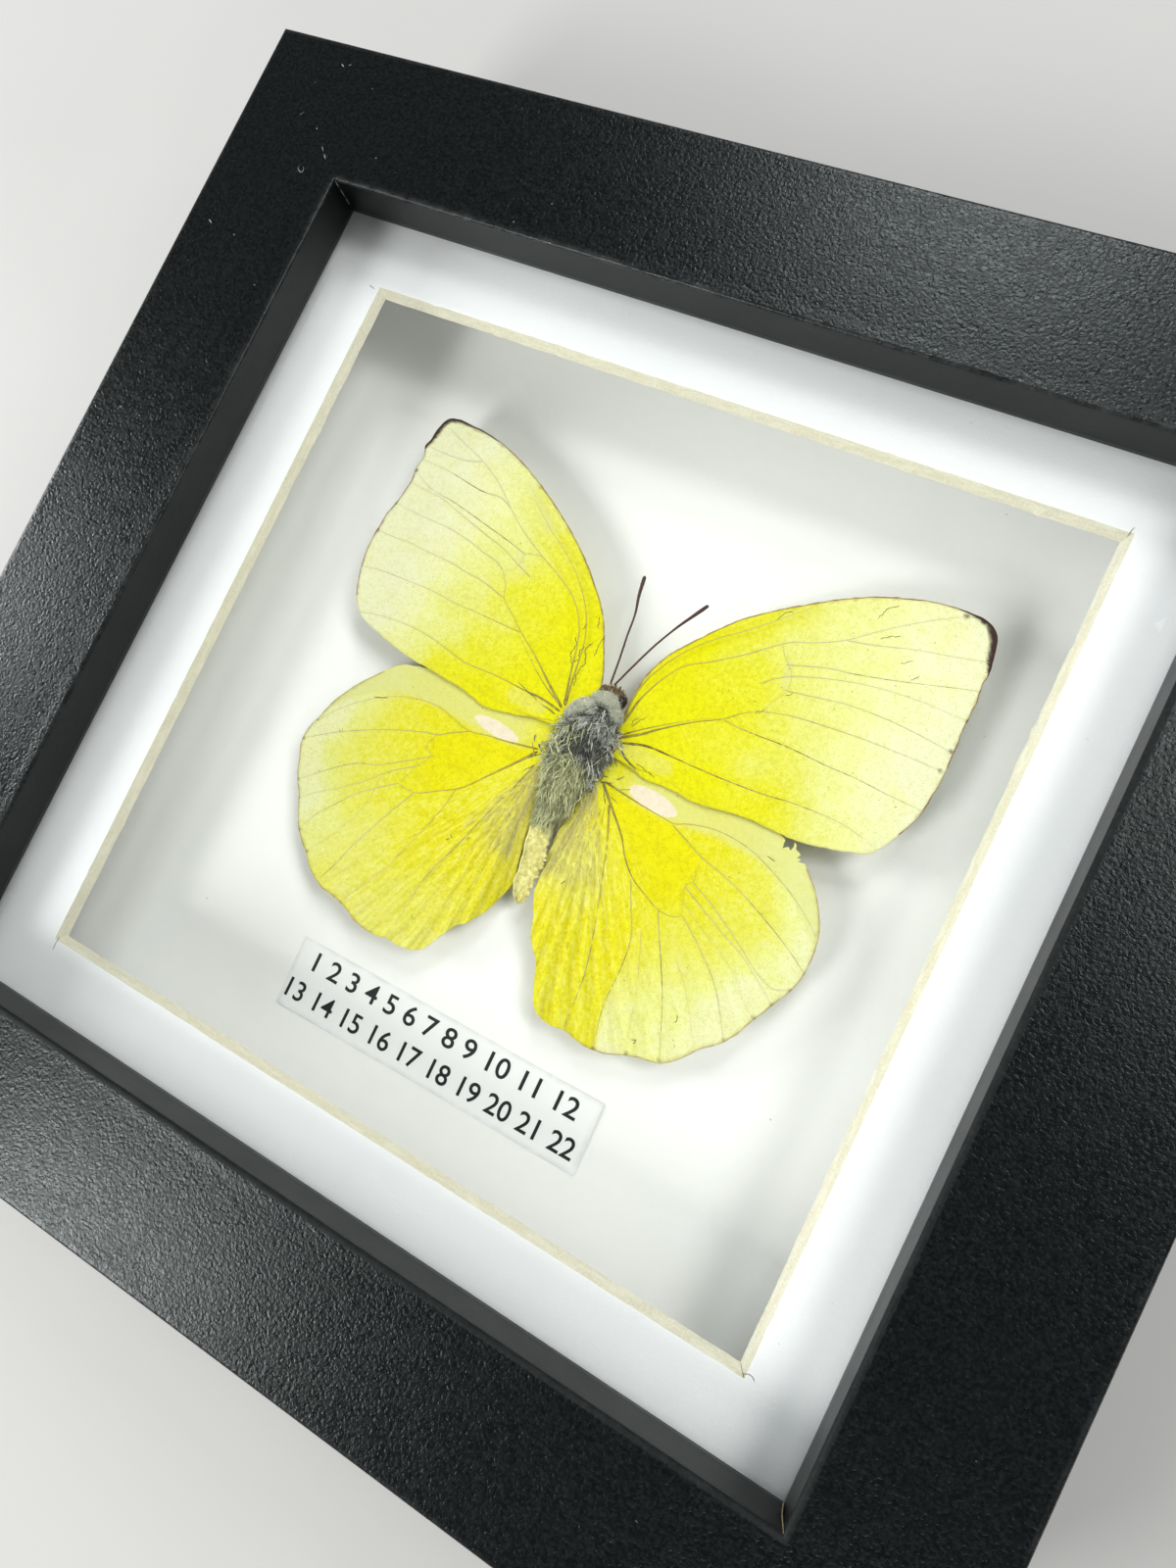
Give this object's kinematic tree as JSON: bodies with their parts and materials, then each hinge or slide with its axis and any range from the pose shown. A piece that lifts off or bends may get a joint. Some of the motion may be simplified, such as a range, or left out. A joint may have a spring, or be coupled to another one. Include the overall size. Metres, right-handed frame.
{
  "type": "framed butterfly specimen",
  "caption": "Shallow square shadow-box frame with a glass front and bevelled window mat, holding a spread yellow butterfly above a white card with a small label strip.",
  "frame": {"origin": "centre of the frame's footprint on the plane of the rails' backs", "axes": "+Z out of the glass, +Y to the top edge of the picture (the butterfly's head), +X to its right edge"},
  "size_m": [0.15, 0.149, 0.03],
  "materials": {
    "black_foil": "black grained foil over wood fibre, satin",
    "glass": "clear polished",
    "mat_board": "white mount board, fine tooth, cream core at the bevel",
    "card": "white card, matt",
    "label_paper": "white paper, printed numerals",
    "hardboard": "bare brown hardboard",
    "steel": "plated sheet steel",
    "forewing": "scaled wing membrane, lemon yellow paling to cream, fine brown veins",
    "hindwing": "scaled wing membrane, lemon yellow, pleated inner area, fine brown veins",
    "insect_body": "dark cuticle under grey and olive hair",
    "antenna": "reddish brown, dark club"
  },
  "bodies": {
    "root": {"rail_top": "black_foil", "rail_bottom": "black_foil", "rail_left": "black_foil", "rail_right": "black_foil", "glass_pane": "glass", "window_mat": "mat_board", "spacer_top": "mat_board", "spacer_bottom": "mat_board", "spacer_left": "mat_board", "spacer_right": "mat_board", "backing_card": "card", "label": "label_paper", "back_board": "hardboard", "sawtooth_hanger": "steel", "hanger_rivet_left": "steel", "hanger_rivet_right": "steel", "butterfly_body": "insect_body", "forewing_left": "forewing", "forewing_right": "forewing", "hindwing_left": "hindwing", "hindwing_right": "hindwing", "antenna_left": "antenna", "antenna_right": "antenna", "point_top_left": "steel", "point_top_right": "steel", "point_bottom_left": "steel", "point_bottom_right": "steel", "point_left_upper": "steel", "point_left_lower": "steel", "point_right_upper": "steel", "point_right_lower": "steel"}
  },
  "joints": []
}
